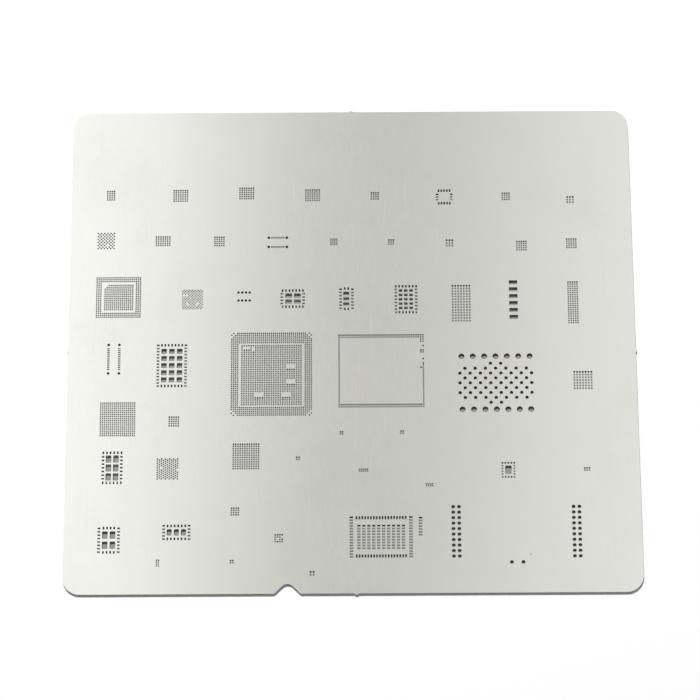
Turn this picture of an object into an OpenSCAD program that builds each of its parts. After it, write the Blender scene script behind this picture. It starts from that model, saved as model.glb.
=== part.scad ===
// Solder paste stencil for the chips of one phone board.
// One thin stainless sheet, cut right through with the apertures of many
// footprints: ball grids, rows of lead pads, windows over thermal pads,
// connectors and rows of round holes.
// The sheet lies flat: X is its width, Y its height, Z = 0 its underside.

/* [Sheet] */
// Width of the sheet
sheet_w = 100; // [80:0.5:130]
// Height of the sheet
sheet_h = 89; // [72:0.5:120]
// Thickness of the sheet
sheet_t = 0.12; // [0.08:0.01:0.3]
// Radius of the four corners
corner_r = 3; // [1:0.1:6]

/* [Edge] */
// Width of the stub left on each side where the sheet was broken out of its blank
stub_w = 0.8; // [0.4:0.1:2]
// How far each stub stands out
stub_out = 0.2; // [0.1:0.05:0.5]
// Place of the notch along the lower edge, from the middle
notch_x = -11.3; // [-30:0.1:30]
// Depth of the notch
notch_depth = 1.7; // [1.3:0.1:2.2]
// Radius of the round end of the notch
notch_r = 1.3; // [0.9:0.1:1.5]
// Width of the flared mouth of the notch
notch_mouth = 4.6; // [3.8:0.1:6]

/* [Ball grids] */
// Pitch of the smallest ball grids
micro_pitch = 0.35; // [0.34:0.01:0.42]
// Aperture diameter of the smallest ball grids
micro_hole = 0.22; // [0.16:0.01:0.28]
// Pitch of the fine ball grids
fine_pitch = 0.4; // [0.34:0.01:0.5]
// Aperture diameter of the fine ball grids
fine_hole = 0.25; // [0.18:0.01:0.3]
// Pitch of the coarse ball grids
coarse_pitch = 0.5; // [0.42:0.01:0.6]
// Aperture diameter of the coarse ball grids
coarse_hole = 0.28; // [0.2:0.01:0.34]

/* [Lead pads] */
// Length of a lead aperture, across the edge of its package
lead_l = 0.45; // [0.3:0.01:0.55]
// Width of a lead aperture, along the edge of its package
lead_w = 0.28; // [0.18:0.01:0.34]
// Pitch of the leads of the plain packages
lead_pitch = 0.5; // [0.4:0.01:0.6]
// Pitch of the leads of the radio modules
module_pitch = 0.6; // [0.5:0.01:0.72]
// Length of a lead aperture of the long packages
long_lead_l = 0.55; // [0.4:0.01:0.7]

/* [Round holes] */
// Diameter of the large round holes
large_hole = 1.05; // [0.7:0.05:1.3]
// Pitch of the large round holes
large_pitch = 2; // [1.6:0.05:2.4]
// Diameter of the small round holes
small_hole = 0.62; // [0.4:0.02:0.76]
// Pitch of the small round holes along a row of the staggered field
field_pitch = 1.8; // [1.5:0.05:2.2]
// Pitch of the holes of the two-row strips
strip_pitch = 0.97; // [0.85:0.01:1.2]

/* [Hidden] */
$fn = 24;
// The footprints' places are given on a sheet of this size, and spread with it
layout_w = 100;
layout_h = 89;

// True where a grid's list of left-out apertures holds this column and row
function left_out(column, row, gaps) = len([for (g = gaps) if (g == [column, row]) 1]) > 0;

// Place of item i of n, centred on zero
function centred(i, n, pitch) = (i - (n - 1) / 2) * pitch;

module at(x, y)
    translate([x * sheet_w / layout_w, y * sheet_h / layout_h]) children();

// A square grid of round apertures; columns and rows count from the top left
module ball_grid(columns, rows, pitch, d, gaps = [])
    for (c = [0:columns - 1], r = [0:rows - 1])
        if (!left_out(c, r, gaps))
            translate([centred(c, columns, pitch), -centred(r, rows, pitch)]) circle(d = d);

// Rows that lie between each other's holes: odd rows have a hole more or less
module staggered_grid(columns, odd_more, rows, step_x, step_y, d, gaps = [])
    for (r = [0:rows - 1])
        let (n = columns + (r % 2) * odd_more)
            for (c = [0:n - 1])
                if (!left_out(c, r, gaps))
                    translate([centred(c, n, step_x), -centred(r, rows, step_y)]) circle(d = d);

// The leads round a package: two rows at +-half_y and two columns at +-half_x
module lead_frame(n_row, n_column, half_x, half_y, pitch, length = lead_l) {
    for (i = [0:n_row - 1], side = [-1, 1])
        translate([centred(i, n_row, pitch), side * half_y]) square([lead_w, length], center = true);
    for (i = [0:n_column - 1], side = [-1, 1])
        translate([side * half_x, centred(i, n_column, pitch)])
            square([length, lead_w], center = true);
}

// The panes that a thermal pad's aperture is divided into
module windows(columns, rows, pane, pitch)
    for (c = [0:columns - 1], r = [0:rows - 1])
        translate([centred(c, columns, pitch.x), centred(r, rows, pitch.y)])
            square(pane, center = true);

// Two facing rows of contacts with a larger anchor hole at each row's ends
module connector(contacts, pitch, rows_apart, anchors_apart) {
    anchor_d = 0.46;
    contact = [0.2, 0.36];
    for (side = [-1, 1]) {
        for (i = [0:contacts - 1])
            translate([centred(i, contacts, pitch), side * rows_apart / 2])
                square(contact, center = true);
        for (end = [-1, 1])
            translate([end * anchors_apart / 2, side * rows_apart / 2]) circle(d = anchor_d);
    }
}

// Power packages of the top two rows, nearly all plain small ball grids
module small_grids() {
    at(-43, 28.6) ball_grid(4, 5, fine_pitch, fine_hole);
    at(-30.5, 28.5) ball_grid(7, 6, fine_pitch, fine_hole);
    at(-18.7, 28.9) ball_grid(7, 6, fine_pitch, fine_hole);
    at(-6.9, 28.5) ball_grid(7, 6, fine_pitch, fine_hole);
    for (x = [4.3, 27.7]) at(x, 28.2) ball_grid(4, 4, fine_pitch, fine_hole);
    at(39.2, 27.4) ball_grid(3, 3, coarse_pitch, coarse_hole);
    at(-33.6, 19.9) ball_grid(7, 5, fine_pitch, fine_hole);
    at(-23.5, 19.8) ball_grid(5, 5, fine_pitch, fine_hole);
    at(-3.1, 19.6) ball_grid(4, 4, micro_pitch, micro_hole);
    at(7.1, 19.5) ball_grid(3, 3, fine_pitch, fine_hole);
    at(17.5, 19.3) ball_grid(3, 3, coarse_pitch, coarse_hole);
    at(30.3, 18.7) ball_grid(5, 5, fine_pitch, fine_hole);
    at(39.2, 19.1) ball_grid(5, 5, fine_pitch, fine_hole);
    at(-31.2, -13.6) ball_grid(5, 5, fine_pitch, fine_hole);
    at(-20.4, -29.9) ball_grid(4, 4, fine_pitch, fine_hole);
    at(-12.8, -34.7) ball_grid(4, 4, fine_pitch, fine_hole, gaps = [[3, 1], [1, 2]]);
}

// Filters and switches with only a few contacts each
module tiny_grids() {
    for (p = [[-1.9, -15.8], [8.7, -15.8], [-9.5, -20.4], [-20.9, -38.8]])
        at(p.x, p.y) ball_grid(2, 2, fine_pitch, fine_hole);
    at(-7, -41) ball_grid(2, 2, coarse_pitch, fine_hole);
    at(1.9, -22.6) ball_grid(5, 2, micro_pitch, micro_hole);
    at(13.4, -25.3) ball_grid(4, 2, micro_pitch, micro_hole);
    at(40.8, -22.6) ball_grid(3, 2, fine_pitch, fine_hole);
    at(-33.7, -39) ball_grid(2, 4, micro_pitch, micro_hole);
}

// Tall memory and radio packages, and one square one
module tall_grids() {
    at(19.4, 8) ball_grid(7, 14, coarse_pitch, coarse_hole);
    at(39.2, 8) ball_grid(5, 20, fine_pitch, fine_hole);
    at(40.5, -6.4) ball_grid(7, 7, coarse_pitch, coarse_hole);
}

// Packages whose balls stand in staggered rows
module staggered_grids() {
    at(-43.7, 20)
        staggered_grid(6, -1, 11, 0.57, 0.285, coarse_hole, gaps = [[3, 8]]);
    at(-28.2, 8.9)
        staggered_grid(7, 1, 15, 0.5, 0.25, micro_hole,
            gaps = [[0, 4], [1, 4], [1, 10], [5, 10], [2, 11], [5, 11]]);
    at(-32.2, -22.2)
        staggered_grid(6, -1, 19, 0.7, 0.2, micro_hole, gaps = [[1, 8], [5, 10]]);
}

// Packages with leads on four sides, most of them round a windowed thermal pad
module leaded_packages() {
    at(16.7, 28) lead_frame(5, 3, 1.25, 1.25, lead_pitch);
    at(-10.4, 9) {
        lead_frame(7, 4, 1.93, 1.5, module_pitch);
        windows(2, 2, [1.2, 0.85], [1.56, 1.1]);
    }
    at(-0.9, 8.9) {
        lead_frame(2, 7, 1.05, 1.88, module_pitch);
        windows(1, 3, [1.05, 0.7], [0, 1]);
    }
    at(9.6, 8.8) {
        lead_frame(7, 7, 1.78, 2.4, module_pitch);
        windows(3, 5, [0.64, 0.5], [0.93, 0.8]);
    }
    at(-31.7, -3.4) {
        lead_frame(7, 14, 2.43, 3.75, 0.96 * module_pitch);
        windows(3, 5, [0.95, 0.92], [1.36, 1.31]);
    }
    at(-41.8, -21.9) {
        lead_frame(6, 7, 1.6, 2.68, 1.05 * module_pitch);
        windows(2, 3, [0.96, 1.33], [1.28, 1.61]);
    }
    at(27.1, -22.7) {
        lead_frame(5, 4, 1.04, 1.26, lead_pitch, length = 0.32);
        windows(1, 1, [1.1, 1.5], [0, 0]);
    }
    at(-42.2, -34.9) {
        lead_frame(4, 8, 1.69, 2.15, module_pitch);
        windows(2, 2, [0.96, 1.3], [1.33, 1.8]);
    }
    at(-30.5, -33.6) {
        lead_frame(6, 5, 2.21, 1.2, module_pitch);
        windows(3, 1, [0.86, 1.15], [1.23, 0]);
    }
    at(28.6, 8.6) windows(1, 6, [1.5, 0.75], [0, 1.29]);
}

// The large leaded module, with a field of short bars inside its leads and one
// more column of leads beside it
module bar_module() {
    bar = [0.5, 0.28];
    bar_pitch_x = 0.86;
    beside_x = 6.8;
    lead_frame(18, 15, 5.1, 3.4, lead_pitch, length = long_lead_l);
    windows(10, 9, bar, [bar_pitch_x, lead_pitch]);
    translate([beside_x, 4 * lead_pitch])
        windows(1, 7, [long_lead_l, lead_w], [0, lead_pitch]);
}

// Two board-to-board connectors
module connectors() {
    at(-13.1, 19.6) connector(7, micro_pitch, 1.74, 3.15);
    at(-41.8, -2.2) rotate(90) connector(10, fine_pitch, 1.92, 5.3);
}

// Speaker-like field: staggered rows of small holes between two rows of large ones
module round_field() {
    row_step = field_pitch / 2;
    counts = [2, 7, 8, 7, 8, 7, 8, 7, 2];
    for (r = [0:len(counts) - 1], c = [0:counts[r] - 1])
        translate([centred(c, counts[r], field_pitch), -centred(r, len(counts), row_step)])
            circle(d = small_hole);
    large_rows_apart = (len(counts) - 1) * row_step + 2.5;
    for (side = [-1, 1], c = [0:6])
        translate([centred(c, 7, large_pitch), side * large_rows_apart / 2])
            circle(d = large_hole);
}

// Strips of two rows of round holes, a pair of holes and a block of eight
module round_strips() {
    for (x = [17.9, 38.8], c = [0, 1], r = [0:9])
        at(x, -33.7)
            translate([centred(c, 2, strip_pitch), centred(r, 10, strip_pitch)])
                circle(d = small_hole);
    for (side = [-1, 1])
        at(28.4, -39.1) translate([side * large_pitch / 2, 0]) circle(d = small_hole);
    for (c = [0:3], r = [0, 1])
        at(-19.1, 9.4)
            translate([centred(c, 4, 0.66), centred(r, 2, 1.5)]) circle(d = 0.45);
}

// The notch that shows which edge is the lower one: a round end whose sides
// run out to the edge along tangents
module notch() {
    centre_y = notch_depth - notch_r;
    reach = norm([notch_mouth / 2, centre_y]);
    lean = atan2(centre_y, notch_mouth / 2) + asin(notch_r / reach);
    touch = sqrt(reach * reach - notch_r * notch_r);
    touch_x = notch_mouth / 2 - touch * cos(lean);
    touch_y = touch * sin(lean);
    translate([notch_x * sheet_w / layout_w, -sheet_h / 2]) {
        translate([0, centre_y]) circle(r = notch_r, $fn = 48);
        polygon([[-notch_mouth / 2, 0], [-notch_mouth / 2, -stub_out], [notch_mouth / 2, -stub_out],
            [notch_mouth / 2, 0], [touch_x, touch_y], [-touch_x, touch_y]]);
    }
}

// The sheet's outline: a rectangle with round corners and four break-off stubs
module outline() {
    square([sheet_w - 2 * corner_r, sheet_h], center = true);
    square([sheet_w, sheet_h - 2 * corner_r], center = true);
    for (x = [-1, 1], y = [-1, 1])
        translate([x * (sheet_w / 2 - corner_r), y * (sheet_h / 2 - corner_r)])
            circle(r = corner_r, $fn = 64);
    square([sheet_w + 2 * stub_out, stub_w], center = true);
    square([stub_w, sheet_h + 2 * stub_out], center = true);
}

module stencil_sheet()
    color([0.8, 0.8, 0.78])
        linear_extrude(sheet_t)
            difference() {
                outline();
                notch();
                small_grids();
                tiny_grids();
                tall_grids();
                staggered_grids();
                leaded_packages();
                at(4.9, -34.6) bar_module();
                connectors();
                at(25.3, -6.8) round_field();
                round_strips();
            }

stencil_sheet();
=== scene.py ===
import bpy
import math
from mathutils import Matrix, Vector
from mathutils.geometry import delaunay_2d_cdt


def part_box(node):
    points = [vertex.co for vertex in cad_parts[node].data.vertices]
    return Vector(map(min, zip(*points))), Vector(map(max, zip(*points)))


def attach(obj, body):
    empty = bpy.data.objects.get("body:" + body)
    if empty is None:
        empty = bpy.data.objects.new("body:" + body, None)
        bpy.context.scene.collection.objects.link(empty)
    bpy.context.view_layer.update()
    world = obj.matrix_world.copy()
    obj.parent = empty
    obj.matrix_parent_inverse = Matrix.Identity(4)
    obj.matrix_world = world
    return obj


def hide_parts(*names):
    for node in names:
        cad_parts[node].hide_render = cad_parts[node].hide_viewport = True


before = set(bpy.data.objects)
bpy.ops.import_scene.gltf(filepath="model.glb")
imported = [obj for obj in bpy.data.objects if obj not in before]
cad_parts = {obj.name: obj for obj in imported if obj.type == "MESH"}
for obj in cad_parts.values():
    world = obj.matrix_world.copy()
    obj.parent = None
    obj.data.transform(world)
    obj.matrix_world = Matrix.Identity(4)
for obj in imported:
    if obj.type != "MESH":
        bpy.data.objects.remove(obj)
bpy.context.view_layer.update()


# ---------------------------------------------------------------------------
# The blank
# One sheet of hard rolled stainless steel, 0.12 mm thick. It is cut out of a
# larger panel, so each side keeps the stub of a tie that held it there, and a
# notch in the lower edge tells which way round it goes.
MM = 0.001
STUB_OUT = 0.2
low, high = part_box("stencil_sheet")
sheet_w = (high[0] - low[0]) / MM - 2 * STUB_OUT
sheet_h = (high[1] - low[1]) / MM - 2 * STUB_OUT
left, right = -sheet_w / 2, sheet_w / 2
bottom, top = -sheet_h / 2, sheet_h / 2


def arc(x, y, r, start, end, steps):
    """Points on an arc, from one angle in degrees to the other."""
    turns = [math.radians(start + (end - start) * i / steps) for i in range(steps + 1)]
    return [(x + r * math.cos(t), y + r * math.sin(t)) for t in turns]


def stub(x, y, facing):
    """The outline of a broken-off tie on the edge at (x, y), worn round at its corners."""
    half_width = 0.4
    shape = [(-half_width, 0), (-0.3, 0.13), (-0.1, STUB_OUT), (0.2, STUB_OUT), (0.34, 0.1), (half_width, 0)]
    c, s = math.cos(math.radians(facing - 90)), math.sin(math.radians(facing - 90))
    return [(x - c * u - s * v, y - s * u + c * v) for u, v in shape]


def notch(x, depth, r, mouth):
    """The notch in the lower edge: a round end with sides that flare along its tangents."""
    y = bottom + depth - r
    reach = math.hypot(mouth / 2, depth - r)
    lean = math.degrees(math.atan2(depth - r, mouth / 2) + math.asin(r / reach))
    round_end = arc(x, y, r, 90 + lean, 90 - lean, 24)
    return [(x - mouth / 2, bottom)] + round_end + [(x + mouth / 2, bottom)]


CORNER_R = 3
outline = arc(left + CORNER_R, bottom + CORNER_R, CORNER_R, 180, 270, 16)
outline += notch(-11.3, 1.7, 1.3, 4.6)
outline += stub(0.6, bottom, -90)
outline += arc(right - CORNER_R, bottom + CORNER_R, CORNER_R, 270, 360, 16)
outline += stub(right, -0.9, 0)
outline += arc(right - CORNER_R, top - CORNER_R, CORNER_R, 0, 90, 16)
outline += stub(0.1, top, 90)
outline += arc(left + CORNER_R, top - CORNER_R, CORNER_R, 90, 180, 16)
outline += stub(left, -0.4, 180)


# ---------------------------------------------------------------------------
# Ball grids
# Round apertures for chips that stand on solder balls. They are cut by laser,
# each a little smaller than half its pitch across, straight through the sheet.
apertures = []
MICRO, FINE, COARSE = 0.35, 0.4, 0.5
HOLE = {MICRO: 0.28, FINE: 0.325, COARSE: 0.37}
SIDES = {MICRO: 8, FINE: 8, COARSE: 12}


def round_hole(x, y, d, sides=24):
    apertures.append(arc(x, y, d / 2, 0, 360 - 360 / sides, sides - 1))


def ball_grid(x, y, columns, rows, pitch, keep=lambda c, r: True):
    """A square grid of apertures; keep says which column and row, from the top left, has one."""
    for c in range(columns):
        for r in range(rows):
            if keep(c, r):
                across = (c - (columns - 1) / 2) * pitch
                down = (r - (rows - 1) / 2) * pitch
                round_hole(x + across, y - down, HOLE[pitch], SIDES[pitch])


for x, y, columns, rows in [
    (-43, 28.6, 4, 5), (-30.5, 28.5, 7, 6), (-18.7, 28.9, 7, 6), (-6.9, 28.5, 7, 6),
    (4.25, 28.3, 4, 4), (27.7, 28.1, 4, 4), (-33.55, 19.9, 7, 5), (-23.5, 19.8, 5, 5),
    (7.1, 19.5, 3, 3), (30.3, 18.7, 5, 5), (39.2, 19.1, 5, 5), (39.2, 8, 5, 20),
    (-31.2, -13.6, 5, 5), (-1.9, -15.85, 2, 2), (8.7, -15.75, 2, 2), (-18.55, -20, 12, 12),
    (-9.5, -20.4, 2, 2), (40.8, -22.6, 3, 2), (-20.4, -29.9, 4, 4), (-20.9, -38.8, 2, 2),
]:
    ball_grid(x, y, columns, rows, FINE)
for x, y, columns, rows in [
    (39.2, 27.4, 3, 3), (17.5, 19.3, 3, 3), (19.4, 7.95, 7, 14), (40.55, -6.4, 7, 7), (-7.05, -40.95, 2, 2),
]:
    ball_grid(x, y, columns, rows, COARSE)
for x, y, columns, rows in [
    (-3.1, 19.6, 4, 4), (1.9, -22.6, 5, 2), (13.4, -25.3, 4, 2), (-33.7, -39, 2, 4), (-41.05, -13.15, 18, 18),
]:
    ball_grid(x, y, columns, rows, MICRO)
ball_grid(-12.8, -34.7, 4, 4, FINE, lambda c, r: (c, r) not in [(3, 1), (1, 2)])


# ---------------------------------------------------------------------------
# The two large chips
# The modem's ring of balls goes round a block with one corner cut for pin 1.
# The processor carries its memory on a ring of finer balls, with loose pairs
# at the corners; its own field has blocks of balls left out.
def in_ring(c, r, columns, rows, sides, above, below):
    return c < sides or c >= columns - sides or r < above or r >= rows - below


ball_grid(-41.3, 9.35, 23, 22, MICRO, lambda c, r: in_ring(c, r, 23, 22, 3, 3, 3))
ball_grid(-41.25, 9.35, 15, 14, MICRO, lambda c, r: c + r > 1)

MEMORY_COLUMNS, MEMORY_ROWS = 41, 44


def memory_ball(c, r):
    from_corner = min(c, MEMORY_COLUMNS - 1 - c) + min(r, MEMORY_ROWS - 1 - r)
    return in_ring(c, r, MEMORY_COLUMNS, MEMORY_ROWS, 4, 6, 5) and from_corner not in (0, 2)


def processor_ball(c, r):
    if 20 <= c <= 23 and r in (9, 10, 16, 17):
        return False
    if r in (22, 23) and (6 <= c <= 9 or 18 <= c <= 21):
        return False
    return not (r == 1 and c in (1, 2, 3, 5)) and not (r == 2 and c == 5)


ball_grid(-14.165, -5.0, MEMORY_COLUMNS, MEMORY_ROWS, MICRO, memory_ball)
ball_grid(-14.155, -5.17, 27, 28, FINE, processor_ball)


# ---------------------------------------------------------------------------
# Staggered grids
# Chips whose balls stand in rows that lie between each other, with a few balls
# left out so that the chip can't be turned the wrong way.
def staggered_grid(x, y, columns, odd_more, rows, step, d, sides, left_out):
    """Rows of apertures half a step apart; odd rows have odd_more more than the even ones."""
    across, down = step
    for r in range(rows):
        count = columns + odd_more * (r % 2)
        for c in range(count):
            if (c, r) not in left_out:
                round_hole(x + (c - (count - 1) / 2) * across, y - (r - (rows - 1) / 2) * down, d, sides)


staggered_grid(-43.7, 20, 6, -1, 11, (0.57, 0.285), 0.29, 12, [(3, 8)])
staggered_grid(-28.2, 8.9, 7, 1, 15, (0.495, 0.2475), 0.26, 8,
               [(0, 4), (1, 4), (1, 10), (5, 10), (2, 11), (5, 11)])
staggered_grid(-32.2, -22.2, 6, -1, 19, (0.7, 0.2), 0.3, 8, [(1, 8), (5, 10)])


# ---------------------------------------------------------------------------
# Leaded packages
# Oblong apertures for the leads, in rows round each package. The thermal pad
# inside them is divided into windows, so that the blade doesn't scoop the
# paste out; window corners are rounded by the laser beam.
LEAD_L, LEAD_W = 0.48, 0.3


def pad(x, y, w, h, r=0.04, steps=1):
    """A rectangle with rounded corners."""
    u, v = w / 2 - r, h / 2 - r
    corners = [(u, v, 0), (-u, v, 90), (-u, -v, 180), (u, -v, 270)]
    apertures.append([p for cx, cy, a in corners for p in arc(x + cx, y + cy, r, a, a + 90, steps)])


def lead_frame(x, y, row, column, half_x, half_y, length=LEAD_L):
    """Leads round a package; row and column are each a count and a pitch."""
    for side in (-1, 1):
        for i in range(row[0]):
            pad(x + (i - (row[0] - 1) / 2) * row[1], y + side * half_y, LEAD_W, length)
        for i in range(column[0]):
            pad(x + side * half_x, y + (i - (column[0] - 1) / 2) * column[1], length, LEAD_W)


def windows(x, y, columns, rows, pane, pitch, r=0.1):
    for c in range(columns):
        for i in range(rows):
            pad(x + (c - (columns - 1) / 2) * pitch[0], y + (i - (rows - 1) / 2) * pitch[1], *pane, r, 3)


lead_frame(16.67, 28.05, (5, 0.5), (3, 0.5), 1.25, 1.2)
lead_frame(-10.43, 8.98, (7, 0.6), (4, 0.6), 1.93, 1.5)
windows(-10.38, 8.98, 2, 2, (1.2, 0.85), (1.56, 1.1))
lead_frame(-0.9, 8.9, (2, 0.6), (7, 0.59), 1.05, 1.9)
windows(-0.95, 8.9, 1, 3, (1.05, 0.68), (0, 0.97))
lead_frame(9.65, 8.76, (7, 0.6), (7, 0.61), 1.8, 2.41)
windows(9.6, 8.76, 3, 5, (0.64, 0.5), (0.93, 0.81), 0.05)
lead_frame(-31.69, -3.35, (7, 0.595), (14, 0.577), 2.43, 3.75)
windows(-31.7, -3.35, 3, 5, (0.98, 0.94), (1.37, 1.31))
lead_frame(-41.83, -21.92, (6, 0.632), (7, 0.66), 1.6, 2.7)
windows(-41.83, -21.95, 2, 3, (0.98, 1.33), (1.28, 1.6))
lead_frame(27.12, -22.67, (5, 0.51), (4, 0.5), 1.04, 1.26, 0.32)
windows(27.12, -22.67, 1, 1, (1.12, 1.55), (0, 0), 0.25)
lead_frame(-42.18, -34.88, (4, 0.62), (8, 0.6), 1.7, 2.16)
windows(-42.18, -34.88, 2, 2, (0.98, 1.32), (1.33, 1.81), 0.16)
lead_frame(-30.5, -33.56, (6, 0.613), (5, 0.59), 2.2, 1.15)
windows(-30.5, -33.56, 3, 1, (0.88, 1.16), (1.235, 0), 0.22)
windows(28.65, 8.57, 1, 6, (1.5, 0.75), (0, 1.29), 0.06)

# The largest leaded module: bars inside its leads and a loose column beside it
MODULE_X, MODULE_Y = 4.9, -34.55
for side in (-1, 1):
    for i in range(18):
        pad(MODULE_X + (i - 8.5) * 0.5, MODULE_Y + side * 3.4, 0.3, 0.6)
    for i in range(15):
        pad(MODULE_X + side * 5.15, MODULE_Y + (i - 7) * 0.5, 0.62, 0.3)
windows(MODULE_X, MODULE_Y, 10, 9, (0.56, 0.3), (0.855, 0.5), 0.04)
windows(11.72, -32.67, 1, 7, (0.62, 0.3), (0, 0.5), 0.04)


# ---------------------------------------------------------------------------
# Connectors and the shield frame
# Board-to-board connectors have rows of thin contacts between larger anchor
# holes. The shield frame is a line of fine holes under the can's rim, doubled
# above and below and broken where the board has other parts.
def connector(x, y, along, contacts, pitch, rows_apart, anchors_apart):
    """Two rows of contacts; along is the rows' direction."""
    upright = along == "y"
    for side in (-1, 1):
        off = side * rows_apart / 2
        for i in range(contacts):
            at = (i - (contacts - 1) / 2) * pitch
            if upright:
                pad(x + off, y + at, 0.44, 0.2)
            else:
                pad(x + at, y + off, 0.2, 0.36)
        for end in (-1, 1):
            at = end * anchors_apart / 2
            round_hole(x + (off if upright else at), y + (at if upright else off), 0.5, 16)


connector(-13.1, 19.58, "x", 7, 0.35, 1.74, 3.2)
connector(-41.92, -2.1, "y", 12, 0.35, 1.9, 5.25)

FRAME_COLUMNS, FRAME_ROWS = 38, 34
RIGHT_SIDE_GAPS = (4, 6, 9, 10, 12)
RIGHT_SIDE_DOUBLES = (2, 3, 7, 8, 15)


def shield_hole(c, r):
    if r < 2 or r >= FRAME_ROWS - 2 or c == 0:
        return True
    if c == FRAME_COLUMNS - 1:
        return r not in RIGHT_SIDE_GAPS
    return c == FRAME_COLUMNS - 2 and r in RIGHT_SIDE_DOUBLES


ball_grid(5.15, -4.5, FRAME_COLUMNS, FRAME_ROWS, FINE, shield_hole)


# ---------------------------------------------------------------------------
# Round holes
# A staggered field of small holes between two rows of large ones, two strips
# of two rows, a block of eight and a pair.
field_counts = [2, 7, 8, 7, 8, 7, 8, 7, 2]
for r, count in enumerate(field_counts):
    for c in range(count):
        round_hole(25.25 + (c - (count - 1) / 2) * 1.8, -6.83 - (r - 4) * 0.895, 0.62, 20)
for c in range(7):
    round_hole(25.27 + (c - 3) * 2, -1.94, 1.05, 32)
    round_hole(25.33 + (c - 3) * 2, -11.67, 1.05, 32)
for c in (-0.5, 0.5):
    for r in range(10):
        round_hole(17.9 + c * 1.0, -33.65 + (r - 4.5) * 0.975, 0.66, 20)
        round_hole(38.75 + c * 1.0, -33.71 + (r - 4.5) * 0.975, 0.66, 20)
    for x in range(4):
        round_hole(-19.06 + (x - 1.5) * 0.66, 9.41 + c * 1.5, 0.46, 16)
    round_hole(28.36 + c * 2, -39.13, 0.67, 20)


# ---------------------------------------------------------------------------
# Cutting the sheet
# The outline and all apertures are cut in one pass. The upper and the lower
# face are the same flat mesh, joined by the walls along every cut.
def signed_area(loop):
    return sum(a[0] * b[1] - b[0] * a[1] for a, b in zip(loop, loop[1:] + loop[:1])) / 2


outline = [p for i, p in enumerate(outline) if math.dist(p, outline[i - 1]) > 1e-6]
loops = [outline if signed_area(outline) > 0 else outline[::-1]]
loops += [loop if signed_area(loop) < 0 else loop[::-1] for loop in apertures]

flat_points = []
cut_edges = []
for loop in loops:
    first = len(flat_points)
    flat_points += [Vector(p) for p in loop]
    cut_edges += [(first + i, first + (i + 1) % len(loop)) for i in range(len(loop))]

found = delaunay_2d_cdt(flat_points, cut_edges, [], 0, 1e-6)
points, faces = found[0], found[2]
if len(points) != len(flat_points):
    raise ValueError(f"two cuts cross: {len(flat_points)} points became {len(points)}")

# a face belongs to the sheet if a walk from the outline crosses no cut to reach it
walls = {frozenset(e) for e in cut_edges}
neighbours = {}
for n, face in enumerate(faces):
    for a, b in zip(face, face[1:] + face[:1]):
        neighbours.setdefault(frozenset((a, b)), []).append(n)
edge_start, edge_end = 0, 1
start = next(n for n in neighbours[frozenset((edge_start, edge_end))]
             if any(face_a == edge_start and face_b == edge_end
                    for face_a, face_b in zip(faces[n], faces[n][1:] + faces[n][:1])))
metal = {start}
to_visit = [start]
while to_visit:
    face = faces[to_visit.pop()]
    for a, b in zip(face, face[1:] + face[:1]):
        edge = frozenset((a, b))
        if edge not in walls:
            for n in neighbours[edge]:
                if n not in metal:
                    metal.add(n)
                    to_visit.append(n)

count = len(points)
lower_z, upper_z = low[2], high[2]
verts = [(p.x * MM, p.y * MM, upper_z) for p in points] + [(p.x * MM, p.y * MM, lower_z) for p in points]
upper = [tuple(faces[n]) for n in sorted(metal)]
lower = [tuple(i + count for i in reversed(face)) for face in upper]
sides = [(a + count, b + count, b, a) for a, b in cut_edges]

mesh = bpy.data.meshes.new("stencil")
mesh.from_pydata(verts, [], upper + lower + sides)
mesh.validate()
stencil = bpy.data.objects.new("stencil", mesh)
bpy.context.scene.collection.objects.link(stencil)
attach(stencil, "root")
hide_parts("stencil_sheet")


# ---------------------------------------------------------------------------
# The finish of the steel
# Cold-rolled stainless with a fine satin grain along its height, hairline
# scratches from wiping the paste off, a few specks, and a surface that isn't
# quite flat. The cut walls are dull and a little darker from the laser.
def new_material(name):
    material = bpy.data.materials.new(name)
    material.use_nodes = True
    nodes = material.node_tree.nodes
    nodes.clear()
    shader = nodes.new("ShaderNodeBsdfPrincipled")
    output = nodes.new("ShaderNodeOutputMaterial")
    material.node_tree.links.new(shader.outputs["BSDF"], output.inputs["Surface"])
    return material, shader


def node(material, kind, settings=None, **inputs):
    """A node with its settings, and its inputs set to a value or joined to another node's output."""
    made = material.node_tree.nodes.new(kind)
    for name, value in (settings or {}).items():
        setattr(made, name, value)
    for name, value in inputs.items():
        name = name.replace("_", " ")
        socket = made.inputs[int(name)] if name.isdigit() else made.inputs[name]
        if isinstance(value, bpy.types.NodeSocket):
            material.node_tree.links.new(value, socket)
        else:
            socket.default_value = value
    return made


def stretched(material, scale, turn=0.0):
    """Object coordinates, stretched by scale and turned, for grain and scratches."""
    place = node(material, "ShaderNodeTexCoord").outputs["Object"]
    return node(material, "ShaderNodeMapping", Vector=place, Scale=scale, Rotation=(0, 0, turn)).outputs["Vector"]


def noise(material, where, scale, detail=3.0, roughness=0.5):
    made = node(material, "ShaderNodeTexNoise", Vector=where, Scale=scale, Detail=detail, Roughness=roughness)
    return made.outputs["Fac"]


def ramp(material, value, from_low, from_high, to_low, to_high):
    return node(material, "ShaderNodeMapRange", {"clamp": True}, Value=value, From_Min=from_low,
                From_Max=from_high, To_Min=to_low, To_Max=to_high).outputs["Result"]


def math_of(material, operation, a, b):
    made = node(material, "ShaderNodeMath", {"operation": operation})
    for socket, value in zip(made.inputs, (a, b)):
        if isinstance(value, bpy.types.NodeSocket):
            material.node_tree.links.new(value, socket)
        else:
            socket.default_value = value
    return made.outputs[0]


STEEL = (0.84, 0.84, 0.82, 1)
STEEL_STAINED = (0.79, 0.785, 0.75, 1)
SPECK = (0.25, 0.24, 0.22, 1)

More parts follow.
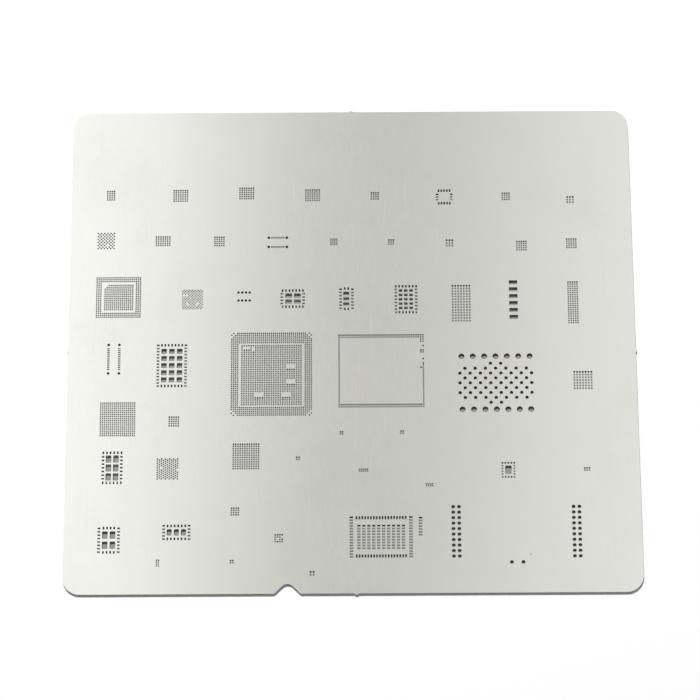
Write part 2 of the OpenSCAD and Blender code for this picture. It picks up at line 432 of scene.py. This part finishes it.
rolled, shader = new_material("rolled stainless")
shader.inputs["Metallic"].default_value = 1.0
grain = noise(rolled, stretched(rolled, (1, 0.04, 1)), 9000, 4)
hairs = ramp(rolled, noise(rolled, stretched(rolled, (1, 0.02, 1), 0.35), 2600, 2), 0.70, 0.76, 0, 1)
cross_hairs = ramp(rolled, noise(rolled, stretched(rolled, (1, 0.03, 1), -1.1), 2200, 2), 0.71, 0.77, 0, 1)
scratches = math_of(rolled, "MAXIMUM", hairs, cross_hairs)
clouds = noise(rolled, stretched(rolled, (1, 1, 1)), 55, 5, 0.6)
stains = ramp(rolled, clouds, 0.5, 0.75, 0, 0.6)
cells = node(rolled, "ShaderNodeTexVoronoi", Vector=stretched(rolled, (1, 1.3, 1)), Scale=95.0)
chosen = node(rolled, "ShaderNodeSeparateColor", Color=cells.outputs["Color"])
near = ramp(rolled, cells.outputs["Distance"], 0.010, 0.022, 1, 0)
specks = math_of(rolled, "MULTIPLY", near, ramp(rolled, chosen.outputs[0], 0.72, 0.80, 0, 0.8))
steel = node(rolled, "ShaderNodeMix", {"data_type": "RGBA"}, Factor=stains)
steel.inputs[6].default_value = STEEL
steel.inputs[7].default_value = STEEL_STAINED
specked = node(rolled, "ShaderNodeMix", {"data_type": "RGBA"})
rolled.node_tree.links.new(specks, specked.inputs[0])
rolled.node_tree.links.new(steel.outputs[2], specked.inputs[6])
specked.inputs[7].default_value = SPECK
rolled.node_tree.links.new(specked.outputs[2], shader.inputs["Base Color"])
satin = math_of(rolled, "ADD", ramp(rolled, grain, 0.3, 0.7, 0.13, 0.19), ramp(rolled, clouds, 0.3, 0.7, 0, 0.03))
satin = math_of(rolled, "ADD", satin, math_of(rolled, "MULTIPLY", scratches, 0.06))
rolled.node_tree.links.new(satin, shader.inputs["Roughness"])
waves = noise(rolled, stretched(rolled, (1, 0.5, 1)), 28, 1)
wavy = node(rolled, "ShaderNodeBump", Height=waves, Strength=1.0, Distance=0.00004)
grained = node(rolled, "ShaderNodeBump", Height=math_of(rolled, "SUBTRACT", grain, scratches),
               Strength=0.12, Distance=0.000004, Normal=wavy.outputs["Normal"])
rolled.node_tree.links.new(grained.outputs["Normal"], shader.inputs["Normal"])

lasered, shader = new_material("laser cut wall")
shader.inputs["Metallic"].default_value = 1.0
shader.inputs["Base Color"].default_value = (0.24, 0.235, 0.225, 1)
dross = noise(lasered, stretched(lasered, (1, 1, 0.2)), 20000, 3)
lasered.node_tree.links.new(ramp(lasered, dross, 0.3, 0.7, 0.35, 0.55), shader.inputs["Roughness"])

mesh.materials.append(rolled)
mesh.materials.append(lasered)
for polygon in mesh.polygons:
    polygon.material_index = 1 if abs(polygon.normal.z) < 0.5 else 0


# ---------------------------------------------------------------------------
# The table
# A plain white table top, half a millimetre below the sheet. The modelled sheet is flat and doesn't touch it; it is
# held clear as the real sheet, which isn't quite flat, stands clear at its edges.
CLEARANCE = 0.5 * MM
TABLE_SIZE = 6.0
table_mesh = bpy.data.meshes.new("table")
reach = TABLE_SIZE / 2
table_z = low[2] - CLEARANCE
table_mesh.from_pydata([(-reach, -reach, table_z), (reach, -reach, table_z), (reach, reach, table_z),
                        (-reach, reach, table_z)], [], [(0, 1, 2, 3)])
table = bpy.data.objects.new("table", table_mesh)
bpy.context.scene.collection.objects.link(table)
white, shader = new_material("white table top")
shader.inputs["Base Color"].default_value = (0.965, 0.965, 0.97, 1)
shader.inputs["Roughness"].default_value = 0.9
shader.inputs["Specular IOR Level"].default_value = 0.1
table_mesh.materials.append(white)

# painted shade: a grey card lies under the sheet, out of sight but for what the apertures show, and stands in for
# the shade beneath the sheet that darkens the apertures
SHADE_CARD_INSET = 2.3 * MM
shade_card_mesh = bpy.data.meshes.new("shade_card")
shade_card_z = table_z + 0.02 * MM
shade_card_mesh.from_pydata([(x, y, shade_card_z) for x, y in (
    (low[0] + SHADE_CARD_INSET, low[1] + SHADE_CARD_INSET), (high[0] - SHADE_CARD_INSET, low[1] + SHADE_CARD_INSET),
    (high[0] - SHADE_CARD_INSET, high[1] - SHADE_CARD_INSET), (low[0] + SHADE_CARD_INSET, high[1] - SHADE_CARD_INSET))], [], [(0, 1, 2, 3)])
shade_card = bpy.data.objects.new("shade_card", shade_card_mesh)
bpy.context.scene.collection.objects.link(shade_card)
shade_card_grey, shader = new_material("painted shade card")
# the card's grey is painted shade, seen through the apertures
shader.inputs["Base Color"].default_value = (0.31, 0.31, 0.30, 1)
shader.inputs["Roughness"].default_value = 0.9
shade_card_mesh.materials.append(shade_card_grey)


# ---------------------------------------------------------------------------
# The light
# A soft lamp above and behind, which throws the short shadows forward, in a
# white room. A wide panel hangs where the steel reflects it, bright at one
# side and darker past its middle, which gives the sheet its soft band.
room = bpy.data.worlds.new("white room")
bpy.context.scene.world = room
room.use_nodes = True
room_nodes = room.node_tree.nodes
room_light = room_nodes["Background"]
room_light.inputs["Color"].default_value = (1, 1, 1, 1)
path = room_nodes.new("ShaderNodeLightPath")
shown = room_nodes.new("ShaderNodeMath")
shown.operation = "MAXIMUM"
room.node_tree.links.new(path.outputs["Is Camera Ray"], shown.inputs[0])
room.node_tree.links.new(path.outputs["Is Glossy Ray"], shown.inputs[1])
level = room_nodes.new("ShaderNodeMapRange")
ROOM_LEVEL = 0.25
level.inputs["To Min"].default_value = ROOM_LEVEL
level.inputs["To Max"].default_value = 1.0
room.node_tree.links.new(shown.outputs[0], level.inputs["Value"])
room.node_tree.links.new(level.outputs["Result"], room_light.inputs["Strength"])

lamp_data = bpy.data.lights.new("lamp", "AREA")
lamp_data.shape = "DISK"
lamp_data.size = 0.14
lamp_data.energy = 13.6
lamp = bpy.data.objects.new("lamp", lamp_data)
lamp.location = (-0.14, 0.55, 1.05)
lamp.rotation_euler = Vector(lamp.location).to_track_quat("Z", "Y").to_euler()
lamp.visible_glossy = False
lamp.visible_camera = False
bpy.context.scene.collection.objects.link(lamp)

PANEL_HEIGHT = 0.7
PANEL_HALF = 0.5
PANEL_Y = 0.224
panel_mesh = bpy.data.meshes.new("panel")
panel_mesh.from_pydata([(-PANEL_HALF, -PANEL_HALF, 0), (-PANEL_HALF, PANEL_HALF, 0),
                        (PANEL_HALF, PANEL_HALF, 0), (PANEL_HALF, -PANEL_HALF, 0)], [], [(0, 1, 2, 3)])
panel = bpy.data.objects.new("panel", panel_mesh)
panel.location = (0, PANEL_Y, PANEL_HEIGHT)
bpy.context.scene.collection.objects.link(panel)
glow = bpy.data.materials.new("panel glow")
glow.use_nodes = True
glow.node_tree.nodes.clear()
place = node(glow, "ShaderNodeTexCoord").outputs["Object"]
split = node(glow, "ShaderNodeSeparateXYZ", Vector=place)
lean = math_of(glow, "MULTIPLY", split.outputs["Y"], -0.06)
across = ramp(glow, math_of(glow, "ADD", split.outputs["X"], lean), -PANEL_HALF, PANEL_HALF, 0, 1)
shade = node(glow, "ShaderNodeValToRGB", Fac=across)
shade.color_ramp.interpolation = "B_SPLINE"
levels = [(0.0, 1.22), (0.37, 1.2), (0.42, 1.1), (0.47, 0.56), (0.52, 0.50), (0.57, 0.80), (0.64, 0.98),
          (1.0, 1.02)]
PANEL_STRENGTH = 1.6
stops = shade.color_ramp.elements
for position, _ in levels[1:-1]:
    stops.new(position)
for stop, (position, value) in zip(stops, levels):
    stop.position = position
    stop.color = (value / PANEL_STRENGTH, value / PANEL_STRENGTH, (value - 0.03) / PANEL_STRENGTH, 1)
emit = node(glow, "ShaderNodeEmission", Color=shade.outputs["Color"], Strength=PANEL_STRENGTH)
output = node(glow, "ShaderNodeOutputMaterial")
glow.node_tree.links.new(emit.outputs["Emission"], output.inputs["Surface"])
panel_mesh.materials.append(glow)
panel.visible_camera = False
panel.visible_diffuse = False
panel.visible_shadow = False


# ---------------------------------------------------------------------------
# The camera
# Above the sheet, a little in front of it, with a long lens.
DISTANCE = 0.5214
TILT = math.radians(17.78)
ROLL = math.radians(0.305)
camera_data = bpy.data.cameras.new("camera")
camera_data.angle = math.radians(13.494)
camera_data.shift_x = -0.0027
camera_data.shift_y = -0.0050
camera = bpy.data.objects.new("camera", camera_data)
stance = Matrix.Rotation(TILT, 4, "X") @ Matrix.Translation((0, 0, DISTANCE)) @ Matrix.Rotation(-ROLL, 4, "Z")
camera.matrix_world = Matrix.Translation((0, 0, high[2])) @ stance
bpy.context.scene.collection.objects.link(camera)
bpy.context.scene.camera = camera
bpy.context.scene.view_settings.view_transform = "Standard"
